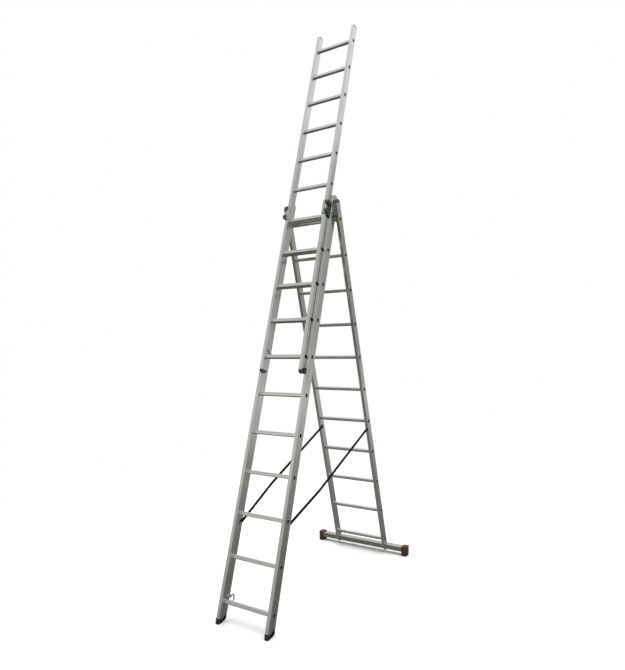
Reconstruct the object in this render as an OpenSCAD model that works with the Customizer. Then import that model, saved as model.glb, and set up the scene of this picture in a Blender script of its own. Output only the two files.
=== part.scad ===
// Three-section combination ladder in aluminium, set up as a free-standing step ladder:
// a front section and a wider rear section hinged at the top and held by two straps,
// and a narrow top section that slides in front of the front section.
// Millimetres, +Z up, the front section faces -Y. The origin lies on the floor in the
// middle of the ladder's footprint.

/* [Ladder] */
// Rungs in each section
rung_count = 11; // [9:1:12]
// Distance between rung centres
rung_pitch = 280; // [260:5:300]
// Rung spaces by which the top section is raised
raised_rungs = 6; // [4:1:6]
// Lean of the front section from upright
front_tilt = 16.3; // [14:0.1:18]
// Height of the lowest rung above the floor, along the stile
first_rung = 130; // [125:1:150]

/* [Stiles] */
// Outer width of the top section
top_width = 362; // [340:2:400]
// Width of every stile profile
stile_w = 25; // [24:1:28]
// Depth of the front section's stiles
front_depth = 76; // [70:1:80]
// Depth of the rear section's stiles
rear_depth = 60; // [56:1:64]
// Depth of the top section's stiles
top_depth = 60; // [56:1:64]
// Wall thickness of the stile profile
stile_wall = 2; // [1.6:0.1:2.4]

/* [Rungs] */
// Side of a square rung tube
rung_side = 26; // [24:0.5:28]
// Corner radius of a rung tube
rung_corner = 5; // [3:0.5:6]
// Outer diameter of the rear section's highest rung, a round tube that is the hinge pin
hinge_tube_d = 28; // [26:0.5:30]
// Wall thickness of a rung tube
rung_wall = 1.5; // [1.2:0.1:2]

/* [Fits] */
// Side gap between the top section and the front section
slide_gap = 2; // [1.6:0.1:3]
// Side gap between the front section and the rear section, for the hinge plates
hinge_gap = 9; // [8:0.5:12]
// Space between the front rungs and the top section's stiles
slide_clear = 3.6; // [2.8:0.1:5]
// Space between the front stiles and the rear rungs when folded
fold_clear = 8; // [7:0.5:10]
// Radial running clearance of every hinge
running_fit = 0.06; // [0.02:0.01:0.1]

/* [Stabiliser] */
// Overall length of the stabiliser over its end caps
stabiliser_length = 870; // [800:10:950]
// Depth of the stabiliser bar
bar_depth = 60; // [54:1:62]
// Height of the stabiliser bar
bar_height = 40; // [36:1:44]
// Height of the bar's underside above the floor
bar_lift = 32; // [30:1:36]

/* [Hidden] */
$fn = 48;

// Sections' widths, one inside the next
front_width = top_width + 2*(stile_w + slide_gap);
rear_width = front_width + 2*(stile_w + hinge_gap);
front_x = (front_width - stile_w)/2;
rear_x = (rear_width - stile_w)/2;
top_x = (top_width - stile_w)/2;

// Distances along the stiles. Local Z runs up a section, local -Y is the section's front.
hinge_tube_r = hinge_tube_d/2;
last = rung_count - 1;
front_foot_end = 25;
front_top = first_rung + last*rung_pitch + 170;
hinge_rise = 10;
hinge_s = first_rung + last*rung_pitch + hinge_rise;
rear_leg = first_rung + last*rung_pitch;
rear_top = rear_leg + 126;
top_first = first_rung + raised_rungs*rung_pitch - hinge_rise;
top_bottom = top_first - 100;
top_top = top_first + last*rung_pitch + 143;

// The hinge axis is the rear section's highest rung, behind the front stiles
hinge_back = front_depth/2 + fold_clear + hinge_tube_r;
hinge_y = hinge_s*sin(front_tilt) + hinge_back*cos(front_tilt);
hinge_z = hinge_s*cos(front_tilt) - hinge_back*sin(front_tilt);
rear_tilt = acos(hinge_z/rear_leg);
rear_foot_y = hinge_y + rear_leg*sin(rear_tilt);
top_ahead = rung_side/2 + slide_clear + top_depth/2;

// Rubber foot: a tilted block whose underside is part of a round bar
foot_lip = 1.5;
foot_r = 62;
foot_centre = 60;
foot_half = front_depth/2 + foot_lip;
foot_toe_s = foot_centre/cos(front_tilt) - sqrt(foot_r*foot_r - foot_half*foot_half);

// Stabiliser bar, set back behind the rear stiles' middle so that it clears the front feet
bar_back = 17;
bar_z = bar_lift + bar_height/2;
bar_top = bar_lift + bar_height;
bar_y = rear_foot_y - bar_z*tan(rear_tilt) + bar_back/cos(rear_tilt);
cap_wall = 4;
cap_length = 44;
cap_top = bar_lift + bar_height + 8;
sole_height = 20;
notch_gap = 0.2;

// Shift that puts the middle of the footprint at Y = 0
toe_y = foot_toe_s*sin(front_tilt) - foot_half*cos(front_tilt);
heel_y = bar_y + bar_depth/2 + cap_wall;
shift_y = -(toe_y + heel_y)/2;

// Straps run from below the third front rung to below the fifth rear rung
strap_w = 25;
strap_t = 2;
strap_low_s = first_rung + 2*rung_pitch - 65;
strap_high_s = first_rung + 4*rung_pitch - 76;
strap_back = 10;
strap_low_x = front_x - stile_w/2 - 2.6;
strap_high_x = rear_x - stile_w/2 - 2.6;
strap_low = [strap_low_x,
    shift_y + strap_low_s*sin(front_tilt) + strap_back*cos(front_tilt),
    strap_low_s*cos(front_tilt) - strap_back*sin(front_tilt)];
strap_high = [strap_high_x,
    shift_y + rear_foot_y - strap_high_s*sin(rear_tilt),
    strap_high_s*cos(rear_tilt)];

// Guide bracket and safety catch at the top of the front section
plate_t = 3;
hinge_plate_t = 4;
plate_gap = 0.2;
guide_low = hinge_s - 15;
guide_high = guide_low + 115;
lug_t = 5;
lug_gap = 0.5;
guide_side_x = top_width/2 + 3;
guide_front_y = -(top_ahead + top_depth/2 + 8);
guide_lip_x = top_width/2 - stile_w - 5;
catch_x = guide_side_x + plate_t + 8;
catch_y = -(front_depth/2 + 12);
catch_pin_r = 2.5;
catch_r = 5;
catch_low = guide_low + lug_t + 2*lug_gap;
catch_high = guide_high - lug_t - 2*lug_gap;

// Rung hooks on the top section
hook_t = 5;
hook_x = top_width/2 - stile_w - 1 - hook_t/2;
hook_pin = [-(top_ahead - 7), top_first + 50];
hook_rung_s = first_rung + raised_rungs*rung_pitch;
hook_pin_r = 4;

// Fasteners, and how loosely plugs and rungs sit in the stiles
pin_gap = 0.05;
plug_gap = 0.3;
rung_fit = 0.1;
bead_t = 0.9;
bead_gap = 0.05;
outer_rise = 2.5;
inner_rise = 1.5;
rivet_r = 2.4;
plate_rivet_y = [-20, 12];
plate_rivet_s = hinge_s + 38;
guide_rivet_s = [guide_low + 8, guide_high - 7];
strap_bolt_r = 3;
bolt_r = 4;
bolt_ahead = 12;

// Storage hook behind the lowest front rung
store_pin = [18, first_rung + 30];
store_t = 6;
store_x = -(front_x - stile_w/2 - 1 - store_t/2);

// Edge of a block that cuts away all that lies beyond a plane
cut = 400;

// Places children in the front section's own frame
module at_front() translate([0, shift_y, 0]) rotate([-front_tilt, 0, 0]) children();

// Places children in the rear section's own frame
module at_rear() translate([0, shift_y + rear_foot_y, 0]) rotate([rear_tilt, 0, 0]) children();

// Places children in the top section's own frame, in front of the front section
module at_top() at_front() translate([0, -top_ahead, 0]) children();

// Repeats children on both sides
module both_sides() for (side = [0, 1]) mirror([side, 0, 0]) children();

// Cylinder along X, centred
module bar_x(r, length) rotate([0, 90, 0]) cylinder(r = r, h = length, center = true);

module rounded_rect(width, depth, r) {
    square([width - 2*r, depth], center = true);
    square([width, depth - 2*r], center = true);
    for (x = [-1, 1], y = [-1, 1])
        translate([x*(width/2 - r), y*(depth/2 - r)]) circle(r = r);
}

// Square bar with rounded corners along X, centred
module square_x(side, r, length) rotate([90, 0, 90]) linear_extrude(length, center = true)
    rounded_rect(side, side, r);

// Hollow stile section with two shallow grooves along each wide side
module stile_profile(depth) {
    groove_depth = 0.6;
    difference() {
        rounded_rect(stile_w, depth, 2.5);
        rounded_rect(stile_w - 2*stile_wall, depth - 2*stile_wall, 1);
        for (x = [-1, 1], y = [-1, 1])
            translate([x*stile_w/2, y*(depth/2 - 12)])
                square([2*groove_depth, 2.4], center = true);
    }
}

// One right-hand stile, punched for its square rungs and drilled for fasteners.
// Each of its side holes is [wall, y, s, radius], where wall is 1 outside and -1 inside.
module stile(depth, low, high, first, square_rungs, side_holes) {
    difference() {
        translate([0, 0, low]) linear_extrude(high - low) stile_profile(depth);
        for (k = [0:square_rungs - 1]) translate([0, 0, first + k*rung_pitch])
            square_x(rung_side + 2*rung_fit, rung_corner + rung_fit, stile_w + 2);
        for (hole = side_holes)
            translate([hole[0]*stile_w/2, hole[1], hole[2]]) bar_x(hole[3] + pin_gap, 10);
    }
}

// Square rung tube with its swaged beads on both faces of each stile
module rung(width) {
    difference() {
        union() {
            square_x(rung_side, rung_corner, width + 2*bead_gap + 2*bead_t);
            both_sides() {
                translate([width/2 + bead_gap + bead_t/2, 0, 0])
                    square_x(rung_side + 2*outer_rise, rung_corner + outer_rise, bead_t);
                translate([width/2 - stile_w - bead_gap - bead_t, 0, 0])
                    square_x(rung_side + 2*inner_rise, rung_corner + inner_rise, 2*bead_t);
            }
        }
        square_x(rung_side - 2*rung_wall, rung_corner - rung_wall, width + 10);
    }
}

// Round rung tube with the same beads
module hinge_tube(width) {
    difference() {
        union() {
            bar_x(hinge_tube_r, width + 2*bead_gap + 2*bead_t);
            both_sides() {
                translate([width/2 + bead_gap + bead_t/2, 0, 0])
                    bar_x(hinge_tube_r + outer_rise, bead_t);
                translate([width/2 - stile_w - bead_gap - bead_t, 0, 0])
                    bar_x(hinge_tube_r + inner_rise, 2*bead_t);
            }
        }
        bar_x(hinge_tube_r - rung_wall, width + 10);
    }
}

// Plug that fills a hollow stile from s = -h to s = 0
module plug(depth, h) translate([0, 0, -h]) linear_extrude(h + 1)
    rounded_rect(stile_w - 2*stile_wall - 2*plug_gap, depth - 2*stile_wall - 2*plug_gap, 1);

// Plastic end cap: a rounded head over a plug inside the stile
module end_cap(depth, rise, crown_r) {
    intersection() {
        linear_extrude(rise) rounded_rect(stile_w, depth, 2.5);
        translate([0, 0, rise - crown_r]) bar_x(crown_r, stile_w + 2);
    }
    plug(depth, 20);
}

module front_stile(side) color("#a9aca6") at_front() mirror([side < 0 ? 1 : 0, 0, 0]) difference() {
    plate_rivets = [for (y = plate_rivet_y) [1, y, plate_rivet_s, rivet_r]];
    strap_bolt = [[-1, strap_back, strap_low_s, strap_bolt_r]];
    store_stud = side < 0 ? [[-1, store_pin[0], store_pin[1], hook_pin_r]] : [];
    translate([front_x, 0, 0]) stile(front_depth, front_foot_end, front_top, first_rung,
                                     rung_count, concat(plate_rivets, strap_bolt, store_stud));
    for (s = guide_rivet_s)
        translate([front_x, -front_depth/2, s]) rotate([90, 0, 0])
            cylinder(r = rivet_r + pin_gap, h = 10, center = true);
}

// The rear stiles take the round hinge tube at the top and are notched at the foot to stand on
// the stabiliser bar
module rear_stile(side) color("#9b9f97") difference() {
    at_rear() mirror([side < 0 ? 1 : 0, 0, 0]) translate([rear_x, 0, 0]) difference() {
        stile(rear_depth, bar_lift/2, rear_top, rear_leg - last*rung_pitch, last,
              [[-1, 0, strap_high_s, strap_bolt_r]]);
        translate([0, 0, rear_leg]) bar_x(hinge_tube_r + rung_fit, stile_w + 2);
    }
    translate([side*rear_x - cut/2, shift_y + bar_y - bar_depth/2 - notch_gap, bar_top + notch_gap - cut])
        cube(cut);
    translate([side*rear_x - cut/2, shift_y + bar_y - cut/2, bar_lift + 4 - cut]) cube(cut);
}

module top_stile(side) color("#b9bcb8") at_top() mirror([side < 0 ? 1 : 0, 0, 0])
    translate([top_x, 0, 0]) stile(top_depth, top_bottom, top_top, top_first, rung_count,
                                   [[-1, hook_pin[0] + top_ahead, hook_pin[1], hook_pin_r]]);

module front_rung(k) color("#c4c6c2") at_front()
    translate([0, 0, first_rung + (k - 1)*rung_pitch]) rung(front_width);

module rear_rung(k) color("#b7bab5") at_rear()
    translate([0, 0, rear_leg - (rung_count - k)*rung_pitch])
        if (k == rung_count) hinge_tube(rear_width); else rung(rear_width);

module top_rung(k) color("#cfd1ce") at_top()
    translate([0, 0, top_first + (k - 1)*rung_pitch]) rung(top_width);

// Rubber feet: round underneath with a flat where they stand, flush on the inner side
module front_feet() color("#1c1c1c") both_sides() {
    translate([0, shift_y, 0]) intersection() {
        rotate([-front_tilt, 0, 0]) translate([front_x - stile_w/2, -foot_half, front_foot_end - cut])
            cube([stile_w + foot_lip, 2*foot_half, cut]);
        translate([front_x, foot_centre*tan(front_tilt), foot_centre]) bar_x(foot_r, 3*stile_w);
        translate([0, -cut/2, 0]) cube(cut);
    }
    at_front() translate([front_x, 0, front_foot_end]) mirror([0, 0, 1]) plug(front_depth, 24);
}

module front_top_caps() color("#b4b4b4") both_sides() at_front()
    translate([front_x, 0, front_top]) end_cap(front_depth, 16, 46);

module rear_top_caps() color("#35353a") both_sides() at_rear()
    translate([rear_x, 0, rear_top]) end_cap(rear_depth, 26, 31);

module top_section_caps() color("#2a2b2c") both_sides() at_top() translate([top_x, 0, 0]) {
    translate([0, 0, top_top]) end_cap(top_depth, 12, 44);
    translate([0, 0, top_bottom]) mirror([0, 0, 1]) end_cap(top_depth, 25, 31);
}

// Steel plates on the front stiles, each bored for the rear section's highest rung
module hinge_plate() {
    plate_hinge_r = 26;
    low_s = first_rung + last*rung_pitch + rung_side/2 + 9;
    high_s = hinge_s + 56;
    translate([front_width/2 + plate_gap, 0, 0]) rotate([90, 0, 90]) linear_extrude(hinge_plate_t)
        difference() {
            union() {
                polygon([[-30, low_s], [20, low_s], [hinge_back - 10, hinge_s - plate_hinge_r + 2],
                         [hinge_back + 20, hinge_s + 16], [20, high_s], [-30, high_s]]);
                translate([hinge_back, hinge_s]) circle(r = plate_hinge_r);
            }
            translate([hinge_back, hinge_s]) circle(r = hinge_tube_r + running_fit);
            for (y = plate_rivet_y) translate([y, plate_rivet_s]) circle(r = rivet_r + pin_gap);
        }
}

module hinge_plates() color("#8f9396") both_sides() at_front() hinge_plate();

// Steel channel that wraps the top section's stile, with lugs and a pin for the catch
module guide_bracket() difference() {
    guide_channel();
    for (s = guide_rivet_s) translate([front_x, -front_depth/2, s]) rotate([90, 0, 0])
        cylinder(r = rivet_r + pin_gap, h = 20, center = true);
}

module guide_channel() {
    back_y = -(front_depth/2 + plate_gap + 0.1);
    translate([0, 0, guide_low]) linear_extrude(guide_high - guide_low) {
        translate([guide_side_x, back_y - plate_t])
            square([front_width/2 - 2 - guide_side_x, plate_t]);
        translate([guide_side_x, guide_front_y]) square([plate_t, back_y - guide_front_y]);
        translate([guide_lip_x, guide_front_y])
            square([guide_side_x + plate_t - guide_lip_x, plate_t]);
        translate([guide_lip_x, guide_front_y]) square([plate_t, 16]);
    }
    for (s = [catch_low - lug_t - lug_gap, catch_high + lug_gap])
        translate([guide_side_x + 1, catch_y - catch_r, s])
            cube([catch_x + catch_r - guide_side_x - 1, 2*catch_r, lug_t]);
    translate([catch_x, catch_y, catch_low - lug_t])
        cylinder(r = catch_pin_r, h = catch_high - catch_low + 2*lug_t);
}

module guide_brackets() color("#b0b5b2") both_sides() at_front() guide_bracket();

// Swinging fork with two rounded lobes that closes the open front of a guide bracket
module safety_catch() color("#23302a") {
    lobe_h = 31;
    lobe_r = 33;
    lobe_back = 10;
    bar_t = 6;
    reach = 10;
    arm_y = guide_front_y - bar_t - 2;
    difference() {
        union() {
            translate([catch_x, catch_y, catch_low])
                cylinder(r = catch_r, h = catch_high - catch_low);
            for (s = [catch_low, catch_high - lobe_h]) intersection() {
                translate([0, 0, s]) union() {
                    translate([catch_x, arm_y, 0]) cube([catch_r, catch_y - arm_y, lobe_h]);
                    translate([guide_side_x - reach, arm_y, 0])
                        cube([catch_x + catch_r - guide_side_x + reach, bar_t, lobe_h]);
                }
                translate([catch_x, catch_y - lobe_back, s + lobe_h/2]) bar_x(lobe_r, 100);
            }
        }
        translate([catch_x, catch_y, catch_low - 1])
            cylinder(r = catch_pin_r + running_fit, h = catch_high - catch_low + 2);
    }
}

module safety_catch_right() at_front() safety_catch();
module safety_catch_left() at_front() mirror([1, 0, 0]) safety_catch();

// Headed fastener along X with its shank towards -X
module rivet(r, head_r, head_h, shank) {
    translate([head_h/2, 0, 0]) bar_x(head_r, head_h);
    translate([-shank/2, 0, 0]) bar_x(r, shank);
}

// Rivets of the hinge plates and guide brackets, strap bolts and the storage hook's stud
module front_fasteners() color("#c9cbc8") at_front() {
    head_gap = 0.1;
    plate_x = front_width/2 + plate_gap + head_gap + hinge_plate_t;
    both_sides() {
        for (y = plate_rivet_y)
            translate([plate_x, y, plate_rivet_s]) rivet(rivet_r, 5, 2.2, stile_wall + plate_t + 2);
        for (s = guide_rivet_s)
            translate([front_x, -(front_depth/2 + plate_gap + plate_t + 2*head_gap), s]) rotate([0, 0, -90])
                rivet(rivet_r, 4.5, 2, stile_wall + plate_t + 1);
        translate([strap_low_x - strap_t/2 - 0.4, strap_back, strap_low_s])
            mirror([1, 0, 0]) rivet(strap_bolt_r, 8, 3, 5 + stile_wall);
    }
    translate([store_x + store_t/2 + 0.3, store_pin[0], store_pin[1]])
        rivet(hook_pin_r, 8, 2.5, store_t + 1 + stile_wall);
}

module rear_strap_bolts() color("#c9cbc8") both_sides() at_rear()
    translate([strap_high_x - strap_t/2 - 0.4, 0, strap_high_s])
        mirror([1, 0, 0]) rivet(strap_bolt_r, 8, 3, 5 + stile_wall);

// Plain straps: flat closed bands on the line between their bolts
module strap() {
    span = strap_high - strap_low;
    length = norm(span);
    rise = asin(span[2]/length);
    turn = atan2(span[1], span[0]);
    end_back = 18;
    translate(strap_low) rotate([0, -rise, turn]) difference() {
        translate([-end_back, -strap_t/2, -strap_w/2]) cube([length + 2*end_back, strap_t, strap_w]);
        for (x = [0, length]) translate([x, 0, 0]) rotate([90, 0, 0])
            cylinder(r = strap_bolt_r + 0.6, h = 10, center = true);
    }
}

module strap_right() color("#17181a") strap();
module strap_left() color("#17181a") mirror([1, 0, 0]) strap();

module stabiliser_bar() color("#8f9189") {
    length = stabiliser_length - 2*cap_wall - 1;
    wall = 2.2;
    translate([0, shift_y + bar_y, bar_z]) difference() {
        rotate([90, 0, 90]) linear_extrude(length, center = true) difference() {
            rounded_rect(bar_depth, bar_height, 3);
            rounded_rect(bar_depth - 2*wall, bar_height - 2*wall, 1.5);
        }
        for (side = [-1, 1]) translate([side*rear_x, -bolt_ahead, 0])
            cylinder(r = bolt_r + 0.3, h = bar_height + 10, center = true);
    }
}

// Plastic end caps, each a sleeve closed at its outer end
module stabiliser_caps() color("#5a1a1d") both_sides() {
    fit = 0.25;
    translate([stabiliser_length/2 - cap_length, shift_y + bar_y, 0]) difference() {
        translate([0, 0, sole_height]) rotate([90, 0, 90]) linear_extrude(cap_length)
            translate([0, (cap_top - sole_height)/2])
                rounded_rect(bar_depth + 2*cap_wall, cap_top - sole_height, 4);
        translate([-1, 0, bar_z]) rotate([90, 0, 90]) linear_extrude(cap_length - cap_wall + 1)
            rounded_rect(bar_depth + 2*fit, bar_height + 2*fit, 3);
    }
}

module stabiliser_soles() color("#141414") both_sides()
    translate([stabiliser_length/2 - cap_length/2, shift_y + bar_y, 0])
        linear_extrude(sole_height) rounded_rect(cap_length, bar_depth + 2*cap_wall, 6);

// Bolts that hold the bar from below, and the plugs in the rear stiles that they screw into
module stabiliser_bolts() color("#3b3d3c") both_sides() {
    bolt_y = shift_y + bar_y - bolt_ahead;
    head_r = 9;
    head_h = 12;
    head_gap = 0.2;
    plug_h = 30;
    translate([rear_x, bolt_y, 0]) {
        translate([0, 0, bar_lift - head_gap - head_h]) cylinder(r = head_r, h = head_h);
        translate([0, 0, bar_lift - 1]) cylinder(r = bolt_r, h = bar_height + 18);
    }
    difference() {
        at_rear() translate([rear_x, 0, 0]) mirror([0, 0, 1]) plug(rear_depth, 140);
        translate([0, shift_y + bar_y - cut/2, bar_top + 3*notch_gap - cut]) cube(cut);
        translate([0, shift_y + bar_y - cut/2, bar_top + plug_h]) cube(cut);
        translate([rear_x, bolt_y, 0]) cylinder(r = bolt_r + pin_gap, h = cut);
    }
}

// Studs that carry the rung hooks, riveted into the top section's stiles
module hook_pins() color("#b5b8b6") both_sides() at_front()
    translate([hook_x - hook_t/2 - 0.4, hook_pin[0], hook_pin[1]])
        mirror([1, 0, 0]) rivet(hook_pin_r, 8, 2.5, hook_t + 1.4 + stile_wall);

// Guide tabs at the foot of the top section, running on the front stiles' faces
module lower_guides() color("#2a2b2c") both_sides() at_front() {
    tab = [12, 9, 30];
    translate([top_width/2 + 0.1, -(front_depth/2 + 2) - tab[1], top_bottom - 12]) cube(tab);
}

// Hook that hangs over a front rung, turning on its stud
module rung_hook() color("#9ea2a2") {
    mouth_gap = 1;
    back_r = rung_side/2 + mouth_gap + 8;
    arm_r = 11;
    translate([hook_x, 0, 0]) rotate([90, 0, 90]) difference() {
        union() {
            translate(hook_pin) cylinder(r = arm_r, h = hook_t, center = true);
            translate([0, hook_rung_s]) cylinder(r = back_r, h = hook_t, center = true);
            linear_extrude(hook_t, center = true)
                polygon([[hook_pin[0] - 6, hook_pin[1] - 9], [hook_pin[0] + 7, hook_pin[1] + 8.4],
                         [8, hook_rung_s + 20.5], [-17, hook_rung_s + 12]]);
        }
        translate([0, hook_rung_s]) {
            linear_extrude(2*hook_t, center = true)
                rounded_rect(rung_side + 2*mouth_gap, rung_side + 2*mouth_gap, rung_corner);
            linear_extrude(2*hook_t, center = true)
                polygon([[-60, -40], [40, -40], [40, -5], [0, -5], [-10, 9], [-22, 13], [-60, 13]]);
        }
        translate(hook_pin) cylinder(r = hook_pin_r + running_fit, h = 2*hook_t, center = true);
    }
}

module rung_hook_right() at_front() rung_hook();
module rung_hook_left() at_front() mirror([1, 0, 0]) rung_hook();

// Cane-shaped hook that holds the rear section's lowest rung when the ladder is folded
module storage_hook() color("#8b8f8e") at_front() {
    bar_w = 8;
    arch_r = 23;
    drop = 18;
    arch = [hinge_back, store_pin[1] - 11];
    foot_y = arch[0] + arch_r - bar_w;
    translate([store_x - store_t/2, 0, 0]) rotate([90, 0, 90]) difference() {
        union() {
            translate(store_pin) cylinder(r = 10, h = store_t);
            translate([store_pin[0], store_pin[1]])
                cube([arch[0] - arch_r + bar_w - store_pin[0], bar_w, store_t]);
            difference() {
                translate(arch) cylinder(r = arch_r, h = store_t);
                translate(arch) cylinder(r = arch_r - bar_w, h = 3*store_t, center = true);
                translate([arch[0] - cut/2, arch[1] - cut, -1]) cube(cut);
            }
            translate([foot_y, arch[1] - drop, 0]) cube([bar_w, drop, store_t]);
            translate([foot_y + bar_w/2, arch[1] - drop, 0]) cylinder(r = bar_w/2, h = store_t);
        }
        translate(store_pin) cylinder(r = hook_pin_r + running_fit, h = 3*store_t, center = true);
    }
}

front_stile(-1);  // front_stile_left
front_stile(1);  // front_stile_right
rear_stile(-1);  // rear_stile_left
rear_stile(1);  // rear_stile_right
top_stile(-1);  // top_stile_left
top_stile(1);  // top_stile_right
for (k = [1:rung_count]) front_rung(k);
for (k = [1:rung_count]) rear_rung(k);
for (k = [1:rung_count]) top_rung(k);
front_feet();
front_top_caps();
rear_top_caps();
top_section_caps();
hinge_plates();
guide_brackets();
front_fasteners();
safety_catch_left();
safety_catch_right();
stabiliser_bar();
stabiliser_caps();
stabiliser_soles();
stabiliser_bolts();
rear_strap_bolts();
strap_left();
strap_right();
hook_pins();
lower_guides();
rung_hook_left();
rung_hook_right();
storage_hook();
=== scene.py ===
import math
import bmesh
import bpy
from mathutils import Matrix, Vector


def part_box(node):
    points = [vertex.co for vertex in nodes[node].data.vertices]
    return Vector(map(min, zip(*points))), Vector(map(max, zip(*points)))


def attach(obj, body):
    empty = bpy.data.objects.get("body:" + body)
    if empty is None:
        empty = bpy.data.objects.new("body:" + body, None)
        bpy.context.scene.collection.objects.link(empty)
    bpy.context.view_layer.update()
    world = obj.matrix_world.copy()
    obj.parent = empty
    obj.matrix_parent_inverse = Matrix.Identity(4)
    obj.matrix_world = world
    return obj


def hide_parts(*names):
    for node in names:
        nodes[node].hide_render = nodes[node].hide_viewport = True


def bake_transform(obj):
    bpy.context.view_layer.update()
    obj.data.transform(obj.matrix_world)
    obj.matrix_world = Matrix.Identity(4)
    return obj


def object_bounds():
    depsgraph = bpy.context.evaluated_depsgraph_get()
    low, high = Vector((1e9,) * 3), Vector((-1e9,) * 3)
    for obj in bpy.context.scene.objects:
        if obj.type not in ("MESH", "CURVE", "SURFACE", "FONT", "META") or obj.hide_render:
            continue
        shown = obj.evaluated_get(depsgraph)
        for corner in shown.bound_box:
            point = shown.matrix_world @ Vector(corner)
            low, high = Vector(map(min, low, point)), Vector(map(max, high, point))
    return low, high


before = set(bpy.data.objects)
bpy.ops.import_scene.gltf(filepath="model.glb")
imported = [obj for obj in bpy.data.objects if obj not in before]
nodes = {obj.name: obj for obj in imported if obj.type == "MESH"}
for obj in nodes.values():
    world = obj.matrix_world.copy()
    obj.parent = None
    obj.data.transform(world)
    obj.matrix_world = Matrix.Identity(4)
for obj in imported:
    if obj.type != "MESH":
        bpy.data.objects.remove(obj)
cad_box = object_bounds()
mm = 0.001
RUNGS = 11

# ---------------------------------------------------------------- places, worked out from the frame


def mid(node):
    low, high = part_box(node)
    return (low + high) / 2


def section_frame(section):
    """Matrix from a section's axes (across, back, up its stiles) to the row frame, from its lowest rung."""
    up = (mid(f"{section}_rung_{RUNGS}") - mid(f"{section}_rung_1")).normalized()
    across = Vector((1, 0, 0))
    m = Matrix((across, up.cross(across), up)).transposed().to_4x4()
    m.translation = mid(f"{section}_rung_1")
    return m


SECTIONS = {name: section_frame(name) for name in ("front", "rear", "top")}
BODY = {"front": "front_section", "rear": "rear_section", "top": "top_section"}

# ---------------------------------------------------------------- materials


class Nodes:
    """A material's node tree, with short calls to add nodes to it."""

    def __init__(self, name):
        self.material = bpy.data.materials.new(name)
        self.material.use_nodes = True
        self.tree = self.material.node_tree
        self.shader = self.tree.nodes["Principled BSDF"]

    def add(self, kind, inputs=None, **settings):
        node = self.tree.nodes.new(kind)
        for key, value in settings.items():
            setattr(node, key, value)
        for key, value in (inputs or {}).items():
            self.set(node.inputs[key], value)
        return node

    def set(self, socket, value):
        if isinstance(value, bpy.types.NodeSocket):
            self.tree.links.new(value, socket)
        else:
            socket.default_value = value

    def coords(self, scale, rotation=(0, 0, 0), source="Object"):
        place = self.add("ShaderNodeTexCoord").outputs[source]
        turned = self.add("ShaderNodeMapping", {"Vector": place, "Rotation": rotation})
        return self.add("ShaderNodeMapping", {"Vector": turned.outputs[0], "Scale": scale}).outputs[0]

    def noise(self, vector, scale=1.0, detail=4.0, rough=0.55):
        inputs = {"Vector": vector, "Scale": scale, "Detail": detail, "Roughness": rough}
        return self.add("ShaderNodeTexNoise", inputs).outputs[0]

    def ramp(self, factor, low, high, start=0.35, end=0.65):
        """Maps a factor to colours or greys between low and high."""
        node = self.add("ShaderNodeValToRGB", {0: factor})
        for stop, place, value in zip(node.color_ramp.elements, (start, end), (low, high)):
            stop.position = place
            stop.color = (*value, 1) if hasattr(value, "__len__") else (value, value, value, 1)
        return node.outputs[0]

    def mix(self, factor, a, b):
        node = self.add("ShaderNodeMix", {0: factor}, data_type="RGBA")
        self.set(node.inputs[6], a)
        self.set(node.inputs[7], b)
        return node.outputs[2]

    def bump(self, height, strength, distance, normal=None):
        inputs = {"Height": height, "Strength": strength, "Distance": distance}
        if normal is not None:
            inputs["Normal"] = normal
        return self.add("ShaderNodeBump", inputs).outputs[0]

    def surface(self, **sockets):
        for key, value in sockets.items():
            self.set(self.shader.inputs[key.replace("_", " ")], value)
        return self.material


def aluminium(name, tone, tilt=0.0, along="stile", rough=0.2):
    """Extruded aluminium: fine drawn lines along its length, slow tone changes, faint marks."""
    n = Nodes(name)
    turn = (-tilt, 0, 0)
    lines = (260, 260, 2.2) if along == "stile" else (2.2, 260, 260)
    drawn = n.noise(n.coords(lines, turn), 1.0, 3.0)
    clouds = n.noise(n.coords((5, 5, 5), turn), 1.0, 3.0)
    marks = n.noise(n.coords((34, 34, 90) if along == "stile" else (90, 34, 34), turn), 1.0, 6.0, 0.7)
    cool = tuple(x * 0.93 for x in tone)
    warm = (min(1, tone[0] * 1.03), min(1, tone[1] * 1.03), tone[2] * 1.01)
    colour = n.mix(n.ramp(clouds, 0, 1), (*cool, 1), (*warm, 1))
    colour = n.mix(n.ramp(marks, 0, 0.35, 0.6, 0.72), colour, (*[x * 0.8 for x in tone], 1))
    roughness = n.ramp(drawn, rough - 0.06, rough + 0.08, 0.3, 0.7)
    fine = n.bump(drawn, 0.22, 0.0004)
    return n.surface(Base_Color=colour, Metallic=1.0, Roughness=roughness,
                     Normal=n.bump(marks, 0.08, 0.0006, fine))


def zinc(name, tone, rough=0.38):
    """Zinc-plated pressed steel: faint crystal patches and handling marks."""
    n = Nodes(name)
    place = n.coords((1, 1, 1))
    cells = n.add("ShaderNodeTexVoronoi", {"Vector": place, "Scale": 240.0}).outputs["Color"]
    grime = n.noise(place, 60.0, 6.0, 0.7)
    colour = n.mix(n.ramp(grime, 0, 0.6, 0.45, 0.75), (*tone, 1), (*[x * 0.6 for x in tone], 1))
    colour = n.mix(0.07, colour, cells)
    return n.surface(Base_Color=colour, Metallic=1.0, Roughness=n.ramp(grime, rough - 0.08, rough + 0.14),
                     Normal=n.bump(grime, 0.15, 0.0006))


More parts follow.
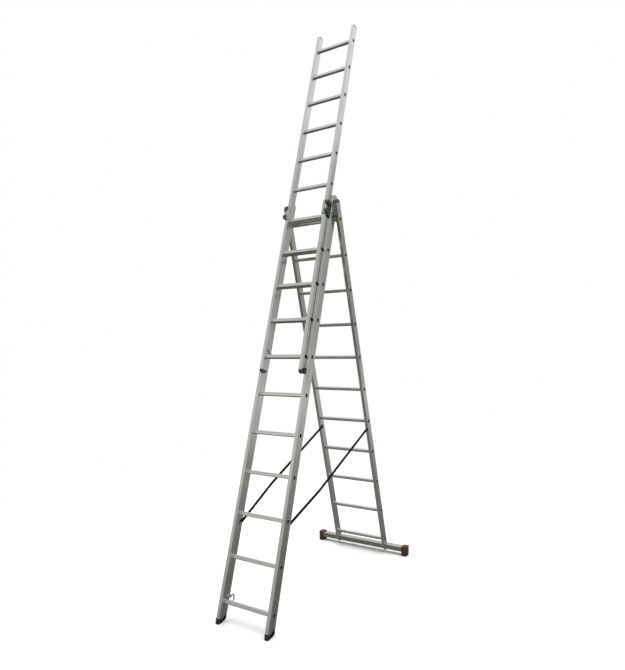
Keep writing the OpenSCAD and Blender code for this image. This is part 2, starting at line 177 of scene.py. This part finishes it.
def moulded(name, tone, worn, rough=0.5, grain=900.0):
    """Moulded plastic: fine grain, slight fading, scuffs."""
    n = Nodes(name)
    place = n.coords((1, 1, 1))
    pits = n.noise(place, grain, 3.0, 0.6)
    fade = n.noise(place, 22.0, 5.0, 0.6)
    scuffs = n.noise(n.coords((60, 60, 260)), 1.0, 5.0, 0.7)
    colour = n.mix(n.ramp(fade, 0, 1, 0.3, 0.75), (*tone, 1), (*worn, 1))
    colour = n.mix(n.ramp(scuffs, 0, 0.45, 0.62, 0.74), colour, (*[x * 1.5 + 0.02 for x in worn], 1))
    return n.surface(Base_Color=colour, Roughness=n.ramp(fade, rough - 0.07, rough + 0.12),
                     Normal=n.bump(pits, 0.3, 0.0003))


def rubber(name):
    """Black rubber: matt, dusty towards the floor."""
    n = Nodes(name)
    place = n.coords((1, 1, 1))
    grain = n.noise(place, 1400.0, 2.0)
    dust = n.noise(place, 55.0, 6.0, 0.7)
    colour = n.mix(n.ramp(dust, 0, 1, 0.45, 0.8), (0.012, 0.012, 0.012, 1), (0.06, 0.057, 0.052, 1))
    return n.surface(Base_Color=colour, Roughness=n.ramp(dust, 0.68, 0.9), Normal=n.bump(grain, 0.5, 0.0004))


STRAP_WIDTH, STRAP_THICK = 25 * mm, 2.4 * mm
STRAP_DOUBLED = 58 * mm  # how much of each end is folded back


def webbing(name):
    """Woven polyester webbing: chevrons of warp over weft, in the strap's own UV, in metres along and across."""
    n = Nodes(name)
    uv = n.add("ShaderNodeUVMap", uv_map="UVMap").outputs[0]
    parts = n.add("ShaderNodeSeparateXYZ", {0: uv})
    along, across = parts.outputs[0], parts.outputs[1]
    from_end = n.add("ShaderNodeSeparateXYZ", {0: n.add("ShaderNodeUVMap", uv_map="ends").outputs[0]}).outputs[0]

    def maths(operation, a, b=0.0):
        return n.add("ShaderNodeMath", {0: a, 1: b}, operation=operation).outputs[0]

    fold = maths("PINGPONG", across, 0.0031)
    chevron = maths("SINE", maths("MULTIPLY", maths("ADD", along, fold), 2 * math.pi / 0.0016))
    warp = maths("SINE", maths("MULTIPLY", across, 2 * math.pi / 0.0012))
    height = maths("ADD", maths("MULTIPLY", chevron, 0.6), maths("MULTIPLY", warp, 0.4))
    # two rows of thread along the doubled ends, and one across where each end stops
    sewn = maths("LESS_THAN", from_end, STRAP_DOUBLED)
    rows = maths("LESS_THAN", maths("ABSOLUTE", maths("SUBTRACT", maths("ABSOLUTE", across), 9 * mm)), 0.6 * mm)
    last = maths("ABSOLUTE", maths("SUBTRACT", from_end, STRAP_DOUBLED - 4 * mm))
    cross = maths("LESS_THAN", last, 0.7 * mm)
    slant = maths("MULTIPLY", maths("ADD", along, across), 2 * math.pi / (3.5 * mm))
    dashes = maths("GREATER_THAN", maths("SINE", slant), -0.4)
    thread = maths("MULTIPLY", maths("MULTIPLY", maths("MAXIMUM", rows, cross), sewn), dashes)
    fuzz = n.noise(n.coords((1, 1, 1)), 700.0, 4.0)
    tone = n.mix(n.ramp(height, 0, 1, 0.2, 0.9), (0.003, 0.003, 0.0035, 1), (0.012, 0.012, 0.014, 1))
    tone = n.mix(n.ramp(fuzz, 0, 0.4, 0.5, 0.8), tone, (0.03, 0.03, 0.031, 1))
    tone = n.mix(thread, tone, (0.09, 0.09, 0.088, 1))
    return n.surface(Base_Color=tone, Roughness=n.ramp(fuzz, 0.75, 0.95), Specular_IOR_Level=0.2,
                     Normal=n.bump(thread, 0.8, 0.0006, n.bump(height, 0.7, 0.0005)))


front_tilt, rear_tilt = (math.atan2(-SECTIONS[s][1][2], SECTIONS[s][2][2]) for s in ("front", "rear"))
STILE = {
    "front": aluminium("front_stile_aluminium", (0.70, 0.72, 0.69), front_tilt),
    "rear": aluminium("rear_stile_aluminium", (0.64, 0.67, 0.62), rear_tilt),
    "top": aluminium("top_stile_aluminium", (0.76, 0.77, 0.76), front_tilt),
}
RUNG = {
    "front": aluminium("front_rung_aluminium", (0.80, 0.81, 0.79), front_tilt, "rung", 0.24),
    "rear": aluminium("rear_rung_aluminium", (0.74, 0.76, 0.73), rear_tilt, "rung", 0.24),
    "top": aluminium("top_rung_aluminium", (0.80, 0.81, 0.80), front_tilt, "rung", 0.24),
}
BAR = aluminium("bar_aluminium", (0.60, 0.59, 0.55), 0.0, "rung", 0.28)
# inside of the rung tubes: near-black painted shade for the little light that reaches into the bore, not the
# metal's own colour
RUNG_BORE_PAINTED_SHADE = zinc("rung_bore_painted_shade", (0.10, 0.10, 0.095), 0.6)
STEEL = zinc("zinc_steel", (0.66, 0.68, 0.68))
BRACKET = zinc("bracket_steel", (0.62, 0.65, 0.63), 0.36)
BOLT_STEEL = zinc("bolt_steel", (0.48, 0.49, 0.47), 0.42)
RUBBER = rubber("black_rubber")
GREY_PLASTIC = moulded("grey_plastic", (0.42, 0.43, 0.43), (0.56, 0.57, 0.56))
DARK_PLASTIC = moulded("dark_plastic", (0.030, 0.032, 0.034), (0.07, 0.072, 0.074))
CATCH_PLASTIC = moulded("catch_plastic", (0.022, 0.032, 0.028), (0.055, 0.07, 0.064), 0.42)
RED_PLASTIC = moulded("red_plastic", (0.05, 0.005, 0.008), (0.09, 0.018, 0.022), 0.42)
WEBBING = webbing("strap_webbing")

CAD_FINISH = {
    "front_feet": RUBBER, "front_top_caps": GREY_PLASTIC, "rear_top_caps": DARK_PLASTIC,
    "top_section_caps": DARK_PLASTIC, "hinge_plates": STEEL, "guide_brackets": BRACKET,
    "front_fasteners": STEEL, "safety_catch_left": CATCH_PLASTIC, "safety_catch_right": CATCH_PLASTIC,
    "stabiliser_bar": BAR, "stabiliser_caps": RED_PLASTIC, "stabiliser_soles": RUBBER,
    "stabiliser_bolts": BOLT_STEEL, "rear_strap_bolts": STEEL, "hook_pins": STEEL,
    "lower_guides": DARK_PLASTIC, "rung_hook_left": BRACKET, "rung_hook_right": BRACKET,
    "storage_hook": BRACKET, "strap_left": WEBBING, "strap_right": WEBBING,
}
for section in SECTIONS:
    for side in ("left", "right"):
        CAD_FINISH[f"{section}_stile_{side}"] = STILE[section]
for name, finish in CAD_FINISH.items():
    mesh = nodes[name].data
    mesh.materials.clear()
    mesh.materials.append(finish)

# ---------------------------------------------------------------- meshes


def piece(name, bm, material, body=None, smooth_angle=math.radians(35)):
    """An object of a finished bmesh, shaded smooth except at its sharp edges."""
    bmesh.ops.recalc_face_normals(bm, faces=bm.faces)
    mesh = bpy.data.meshes.new(name)
    bm.to_mesh(mesh)
    bm.free()
    mesh.shade_smooth()
    mesh.set_sharp_from_angle(angle=smooth_angle)
    mesh.materials.append(material)
    obj = bpy.data.objects.new(name, mesh)
    bpy.context.scene.collection.objects.link(obj)
    if body:
        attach(obj, body)
    return obj


def ring_outline(radius, corner, per_side):
    """Points round a square with rounded corners, radius from middle to side; a circle if corner is radius."""
    flat, points = radius - corner, []
    sides, bends = (per_side, per_side) if flat > 0.1 * mm else (0, 2 * per_side)
    for quarter in range(4):
        turn = math.pi / 2 * quarter
        side = [(radius, flat * (2 * i / sides - 1)) for i in range(sides)]
        bend = [(flat + corner * math.cos(a), flat + corner * math.sin(a))
                for a in (math.pi / 2 * i / bends for i in range(bends))]
        for y, z in side + bend:
            points.append((y * math.cos(turn) - z * math.sin(turn), y * math.sin(turn) + z * math.cos(turn)))
    return points


def tube(stations, per_side, ribs):
    """A closed skin through rings at (x, radius, corner). ribs(x, radius, k): how far the k-th point sinks."""
    bm = bmesh.new()
    rings = []
    for x, radius, corner in stations:
        ring = []
        for k, (y, z) in enumerate(ring_outline(radius, corner, per_side)):
            sink = 1 - ribs(x, radius, k) / radius
            ring.append(bm.verts.new((x, y * sink, z * sink)))
        rings.append(ring)
    for i, (a, b) in enumerate(zip(rings, rings[1:] + rings[:1])):
        for k in range(len(a)):
            j = (k + 1) % len(a)
            face = bm.faces.new((a[k], a[j], b[j], b[k]))
            radii = stations[i][1], stations[(i + 1) % len(rings)][1]
            # faces inside the tube take the second slot, the bore's painted shade
            face.material_index = int(max(radii) < BORE_BELOW)
    return bm


RUNG_SIDE, RUNG_CORNER, RUNG_WALL = 13 * mm, 5 * mm, 1.5 * mm
HINGE_TUBE = 14 * mm
BORE_BELOW = 12.95 * mm  # a ring with a smaller radius than this is inside the tube
PER_SIDE = 16  # points along each side of a rung, and as many round each corner
GROOVE = {0: (12, 13), 2: (3, 4)}  # points of the rear and the front side that lie high on the rung
GROOVE_DEEP = 0.9 * mm


def rung_mesh(section, round_tube):
    """A ribbed tube, square or round, swaged out on both faces of each stile, with open flared ends."""
    side, corner = (HINGE_TUBE, HINGE_TUBE) if round_tube else (RUNG_SIDE, RUNG_CORNER)
    bore, bore_corner = side - RUNG_WALL, corner - RUNG_WALL
    low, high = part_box(f"{section}_stile_right")
    inner, outer, end = low.x, high.x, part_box(f"{section}_rung_1")[1].x
    smooth_from, deep_to = inner - 6 * mm, 12 * mm
    half = [(0, side, corner), (smooth_from - deep_to, side, corner), (smooth_from, side, corner)]
    for i in range(7):
        lift = 1.4 * mm * math.sin(math.pi * i / 6) ** 0.7
        half.append((inner - 1.4 * mm - 1.3 * mm * math.cos(math.pi * i / 6), side + lift, corner + lift))
    rise = [(outer - 1 * mm, 0), (outer + 0.05 * mm, 1.2), (outer + 0.1 * mm, 2.3), (end - 0.35 * mm, 2.4),
            (end, 1.8), (end, 0.3)]
    half += [(x, side + up * mm, corner + up * mm) for x, up in rise]
    half += [(end - 0.3 * mm, bore + 0.8 * mm, bore_corner + 0.8 * mm), (end - 2 * mm, bore, bore_corner),
             ((smooth_from - deep_to) / 2, bore, bore_corner)]
    fine = (0.45 * mm, 0.1 * mm, 0, 0.1 * mm)

    def ribs(x, radius, k):
        if abs(x) > smooth_from - 1 * mm or radius != side:
            return 0
        quarter, place = divmod(k, 2 * PER_SIDE)
        if round_tube or quarter % 2:  # fine ribs for grip all round, or above and below
            return fine[k % 4]
        return GROOVE_DEEP if place in GROOVE[quarter] else 0  # one groove in front and one behind

    stations = [(-x, r, c) for x, r, c in reversed(half[1:])] + half
    return tube(stations, PER_SIDE, ribs)


def build_rungs():
    models = {}
    for section, matrix in SECTIONS.items():
        for k in range(1, RUNGS + 1):
            round_tube = section == "rear" and k == RUNGS
            name, place = f"{section}_rung_tube_{k}", matrix.copy()
            if (section, round_tube) in models:
                obj = bpy.data.objects.new(name, models[section, round_tube])
                bpy.context.scene.collection.objects.link(obj)
            else:
                obj = piece(name, rung_mesh(section, round_tube), RUNG[section])
                # second slot: the near-black painted shade inside the bore
                obj.data.materials.append(RUNG_BORE_PAINTED_SHADE)
                models[section, round_tube] = obj.data
            place.translation = mid(f"{section}_rung_{k}")
            obj.matrix_world = place
            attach(obj, BODY[section])
            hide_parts(f"{section}_rung_{k}")


build_rungs()

# ---------------------------------------------------------------- straps


# how far across the gap between the stiles the strap has come, at each share of its length
STRAP_COURSE = ((0.0, 0.0), (0.035, 0.0), (0.345, 0.90), (1.0, 1.0))


def strap_ends(side):
    """The strap's two ends on its centreline, the lower one first."""
    points = [v.co.copy() for v in nodes[f"strap_{side}"].data.vertices]
    low, high = min(points, key=lambda p: p.y + p.z), max(points, key=lambda p: p.y + p.z)
    axis = (high - low).normalized()
    along = sorted(points, key=lambda p: p.dot(axis))
    bottom = [p for p in points if (p - along[0]).dot(axis) < 30 * mm]
    top = [p for p in points if (along[-1] - p).dot(axis) < 30 * mm]
    return tuple(sum(group, Vector()) / len(group) for group in (bottom, top))


def strap_centre(start, end, share):
    """The strap's middle. It moves outwards early, so that it passes clear of the front stile when folded."""
    middle = start.lerp(end, share)
    across = end.x - start.x
    for (s0, x0), (s1, x1) in zip(STRAP_COURSE, STRAP_COURSE[1:]):
        if s0 <= share <= s1:
            middle.x = start.x + across * (x0 + (x1 - x0) * (share - s0) / (s1 - s0))
    return middle


def strap_mesh(start, end, width, thick):
    """A woven band whose two ends are folded back and sewn double, with its UV in metres."""
    direction = (end - start).normalized()
    normal = direction.cross(Vector((0, 0, 1))).normalized()
    wide = normal.cross(direction).normalized()
    length = (end - start).length
    outline = [(u * width / 2, t) for u, t in (
        (-1, -0.35), (-0.94, -1), (-0.5, -0.86), (0, -0.8), (0.5, -0.86), (0.94, -1),
        (1, -0.35), (1, 0.35), (0.94, 1), (0.5, 0.86), (0, 0.8), (-0.5, 0.86), (-0.94, 1), (-1, 0.35))]
    step, half = 8 * mm, thick / 2
    inner = [STRAP_DOUBLED + 3 * mm + i * step for i in range(int((length / 2 - STRAP_DOUBLED) / step))]
    near = [(0, 0.5 * half), (1 * mm, half)] + [(i * step, half) for i in range(1, int(STRAP_DOUBLED / step) + 1)]
    near += [(STRAP_DOUBLED, half), (STRAP_DOUBLED + 1.5 * mm, 0.55 * half)] + [(x, 0.5 * half) for x in inner]
    places = near + [(length - x, t) for x, t in reversed(near)]
    bm = bmesh.new()
    uv, ends = bm.loops.layers.uv.new("UVMap"), bm.loops.layers.uv.new("ends")
    rings = []
    for x, t in places:
        centre = strap_centre(start, end, x / length)
        rings.append([bm.verts.new(centre + wide * u + normal * (t * v)) for u, v in outline])

    def face(corners, spots):
        f = bm.faces.new(corners)
        for loop, (x, u) in zip(f.loops, spots):
            loop[uv].uv = (x, u)
            loop[ends].uv = (min(x, length - x), 0)

    for (a, b), ((x0, _), (x1, _)) in zip(zip(rings, rings[1:]), zip(places, places[1:])):
        for k, (u, _) in enumerate(outline):
            j = (k + 1) % len(outline)
            face((a[k], a[j], b[j], b[k]), ((x0, u), (x0, outline[j][0]), (x1, outline[j][0]), (x1, u)))
    for ring, x in ((rings[0], 0.0), (rings[-1], length)):
        face(ring, [(x, u) for u, _ in outline])
    return bm


def build_straps():
    for side in ("left", "right"):
        start, end = strap_ends(side)
        strap = piece(f"strap_webbing_{side}", strap_mesh(start, end, STRAP_WIDTH, STRAP_THICK), WEBBING)
        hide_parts(f"strap_{side}")
        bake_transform(strap)


build_straps()

# ---------------------------------------------------------------- rubber feet and soles


def prism(outline, stations):
    """A closed solid through copies of an outline of (y, z), at each (x, how far it shrinks inwards)."""
    bm = bmesh.new()
    middle = [sum(p[i] for p in outline) / len(outline) for i in (0, 1)]
    rings = []
    for x, inset in stations:
        ring = []
        for y, z in outline:
            away = Vector((y - middle[0], z - middle[1]))
            y, z = Vector(middle) + away * (1 - inset / max(away.length, inset))
            ring.append(bm.verts.new((x, y, z)))
        rings.append(ring)
    for a, b in zip(rings, rings[1:]):
        for k in range(len(a)):
            j = (k + 1) % len(a)
            bm.faces.new((a[k], a[j], b[j], b[k]))
    bm.faces.new(list(reversed(rings[0])))
    bm.faces.new(rings[-1])
    return bm


FOOT_TOP, FOOT_HALF, FOOT_RADIUS, FOOT_CENTRE = 25 * mm, 39.5 * mm, 62 * mm, 60 * mm
FOOT_BEVEL = 1.2 * mm
FIRST_RUNG = 130 * mm  # from the floor to the lowest rung, along the stile


def foot_outline():
    """A front foot seen from the side, about where its stile's axis meets the floor: a curve with treads."""
    up, back = SECTIONS["front"].to_3x3().col[2], SECTIONS["front"].to_3x3().col[1]
    middle = FOOT_CENTRE * math.tan(front_tilt)

    def at(y, s):
        return y * back.y + s * up.y, y * back.z + s * up.z

    edge = FOOT_CENTRE / math.cos(front_tilt) - math.sqrt(FOOT_RADIUS ** 2 - FOOT_HALF ** 2)
    low, high = (math.asin((at(y, edge)[0] - middle) / FOOT_RADIUS) for y in (-FOOT_HALF, FOOT_HALF))
    steps, outline = 96, []
    for i in range(steps + 1):
        a = low + (high - low) * i / steps
        tread = 1.1 * mm if i % 8 in (3, 4) else 0
        radius = FOOT_RADIUS - tread
        y, z = middle + radius * math.sin(a), FOOT_CENTRE - radius * math.cos(a)
        outline.append((y, max(z, tread)))
    below, within = FOOT_TOP - FOOT_BEVEL, FOOT_HALF - FOOT_BEVEL
    return outline + [at(FOOT_HALF, below), at(within, FOOT_TOP), at(-within, FOOT_TOP), at(-FOOT_HALF, below)]


def build_feet():
    outline = foot_outline()
    foot = SECTIONS["front"].translation - SECTIONS["front"].to_3x3().col[2] * FIRST_RUNG
    for side, sign in (("left", -1), ("right", 1)):
        low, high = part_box(f"front_stile_{side}")
        inner, outer = (low.x, high.x) if sign > 0 else (high.x, low.x)
        outer += sign * 1.5 * mm
        stations = [(inner, 1.0 * mm), (inner + sign * 1.2 * mm, 0),
                    (outer - sign * 1.6 * mm, 0), (outer, 1.4 * mm)]
        obj = piece(f"front_foot_{side}", prism(outline, stations), RUBBER, BODY["front"],
                    math.radians(25))
        obj.location = (0, foot.y, 0)
        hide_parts("front_feet")


build_feet()

# ---------------------------------------------------------------- stage, lights and camera


def build_stage():
    centre = (cad_box[0] + cad_box[1]) / 2
    bm = bmesh.new()
    bmesh.ops.create_circle(bm, cap_ends=True, segments=128, radius=4.2)
    floor = piece("floor", bm, floor_material())
    floor.location = (centre.x, centre.y, cad_box[0].z - 0.0002)
    floor.visible_glossy = False  # the metal reflects the room and not the floor, as in a studio


def floor_material():
    n = Nodes("floor_paper")
    speckle = n.noise(n.coords((1, 1, 1)), 30.0, 5.0)
    return n.surface(Base_Color=n.ramp(speckle, 0.86, 0.89), Roughness=0.9)


# The room that the metal reflects, as (sine of the height above the horizon, brightness): ahead of the ladder,
# behind it on the left and behind it on the right. A plain hall with a dark floor and a white ceiling.
ROOM_AHEAD = ((-1.0, 0.20), (-0.72, 0.22), (-0.52, 0.24), (-0.42, 0.15), (-0.28, 0.11), (-0.12, 0.30),
              (0.03, 0.46), (0.12, 0.48), (0.25, 0.66), (0.37, 0.72), (0.47, 0.58), (0.66, 0.57), (0.76, 0.72),
              (1.0, 0.96))
ROOM_LEFT = ((-1.0, 0.04), (-0.62, 0.05), (-0.45, 0.14), (-0.30, 0.22), (-0.20, 0.60), (-0.08, 0.90),
             (0.0, 0.80), (0.30, 0.64), (0.43, 0.84), (0.55, 1.0), (1.0, 1.0))
ROOM_RIGHT = ((-1.0, 0.08), (-0.38, 0.15), (-0.20, 0.28), (-0.13, 0.52), (-0.08, 0.74), (-0.03, 0.46),
              (0.03, 0.42), (0.09, 0.38), (0.16, 0.36), (0.24, 0.42), (0.32, 0.40), (0.42, 0.88), (1.0, 0.95))


def build_world():
    """Lights the ladder with the room above, and shows the camera plain white."""
    world = bpy.data.worlds.new("room")
    bpy.context.scene.world = world
    world.use_nodes = True
    tree = world.node_tree
    tree.nodes.clear()
    new, link = tree.nodes.new, tree.links.new

    def spread(low, high, value):
        node = new("ShaderNodeMapRange")
        node.inputs["From Min"].default_value, node.inputs["From Max"].default_value = low, high
        link(value, node.inputs["Value"])
        return node.outputs[0]

    def ramp(height, stops):
        node = new("ShaderNodeValToRGB")
        link(height, node.inputs[0])
        elements = node.color_ramp.elements
        for sine, _ in stops[1:-1]:
            elements.new((sine + 1) / 2)
        for stop, (sine, bright) in zip(elements, stops):
            green = 0.03 * (1 - min(bright, 1))  # the darker parts of the room are a little green
            stop.position = (sine + 1) / 2
            stop.color = (bright * (1 - green), bright, bright * (1 - 3 * green), 1)
        return node.outputs[0]

    place = new("ShaderNodeTexCoord")
    split = new("ShaderNodeSeparateXYZ")
    link(place.outputs["Generated"], split.inputs[0])
    height = spread(-1, 1, split.outputs["Z"])

    def blend(factor, a, b):
        node = new("ShaderNodeMix")
        node.data_type = "RGBA"
        for value, socket in ((factor, 0), (a, 6), (b, 7)):
            link(value, node.inputs[socket])
        return node.outputs[2]

    behind = blend(spread(-0.25, 0.25, split.outputs["X"]), ramp(height, ROOM_LEFT), ramp(height, ROOM_RIGHT))
    walls = blend(spread(-0.25, 0.25, split.outputs["Y"]), ramp(height, ROOM_AHEAD), behind)
    room, plain = new("ShaderNodeBackground"), new("ShaderNodeBackground")
    link(walls, room.inputs["Color"])
    plain.inputs["Color"].default_value = (1, 1, 1, 1)
    seen = new("ShaderNodeLightPath")
    mix = new("ShaderNodeMixShader")
    link(seen.outputs["Is Camera Ray"], mix.inputs[0])
    link(room.outputs[0], mix.inputs[1])
    link(plain.outputs[0], mix.inputs[2])
    link(mix.outputs[0], new("ShaderNodeOutputWorld").inputs[0])


def soft_light(name, place, target, size, power):
    data = bpy.data.lights.new(name, "AREA")
    data.shape, data.size, data.energy = "DISK", size, power
    light = bpy.data.objects.new(name, data)
    bpy.context.scene.collection.objects.link(light)
    light.location = place
    light.rotation_euler = (Vector(target) - Vector(place)).to_track_quat("-Z", "Y").to_euler()
    light.visible_glossy = False  # the room does for reflections


def build_camera():
    """The viewpoint: right of the front section, at eye height, looking slightly up."""
    yaw, pitch, roll = math.radians(-31.03), math.radians(2.19), math.radians(-0.17)
    forward = Vector((math.sin(yaw) * math.cos(pitch), math.cos(yaw) * math.cos(pitch), math.sin(pitch)))
    right = Vector((math.cos(yaw), -math.sin(yaw), 0))
    up = right.cross(forward)
    right, up = right * math.cos(roll) + up * math.sin(roll), up * math.cos(roll) - right * math.sin(roll)
    data = bpy.data.cameras.new("camera")
    data.sensor_width, data.lens = 36, 28.73
    camera = bpy.data.objects.new("camera", data)
    bpy.context.scene.collection.objects.link(camera)
    turn = Matrix((right, up, -forward)).transposed().to_4x4()
    turn.translation = (2.172, -3.619, 1.748)
    camera.matrix_world = turn
    bpy.context.scene.camera = camera


build_stage()
build_world()
soft_light("overhead", (0, 0, 7.5), (0, 0, 0), 8.0, 520)
build_camera()
bpy.context.scene.view_settings.view_transform = "Standard"
